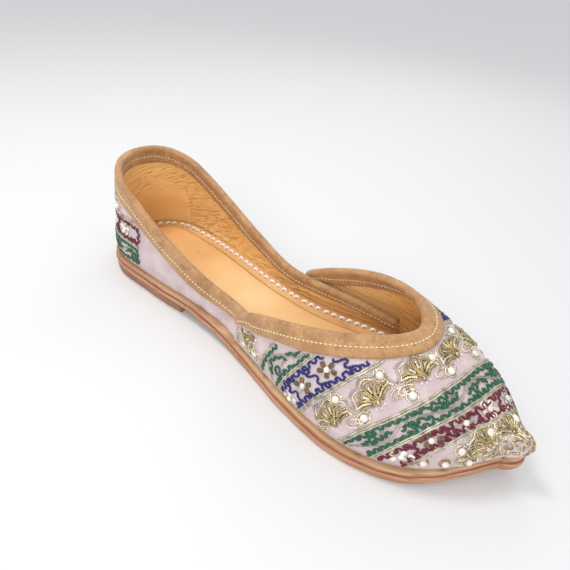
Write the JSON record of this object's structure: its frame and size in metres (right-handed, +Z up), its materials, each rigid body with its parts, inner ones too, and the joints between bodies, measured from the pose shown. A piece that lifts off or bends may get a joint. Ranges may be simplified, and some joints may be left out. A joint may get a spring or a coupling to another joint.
{
  "type": "mojari shoe",
  "caption": "Flat slip-on mojari with a low-cut embroidered upper, bound edges, stitched insole with a padded sock, leather sole and a low heel lift.",
  "frame": {"origin": "centre of the heel's round seat, on the floor", "axes": "+X towards the toe, +Y to the wearer's left, +Z up"},
  "size_m": [0.245, 0.0845, 0.0623],
  "materials": {
    "satin_cloth": "satin",
    "binding_leather": "suede",
    "insole_leather": "smooth",
    "sock_leather": "smooth",
    "sole_leather": "burnished",
    "heel_leather": "burnished"
  },
  "bodies": {
    "root": {"upper": "satin_cloth", "quarter_binding": "binding_leather", "vamp_binding": "binding_leather", "insole": "insole_leather", "sock": "sock_leather", "midsole": "sole_leather", "outsole": "sole_leather", "heel_lift": "heel_leather"}
  },
  "joints": []
}
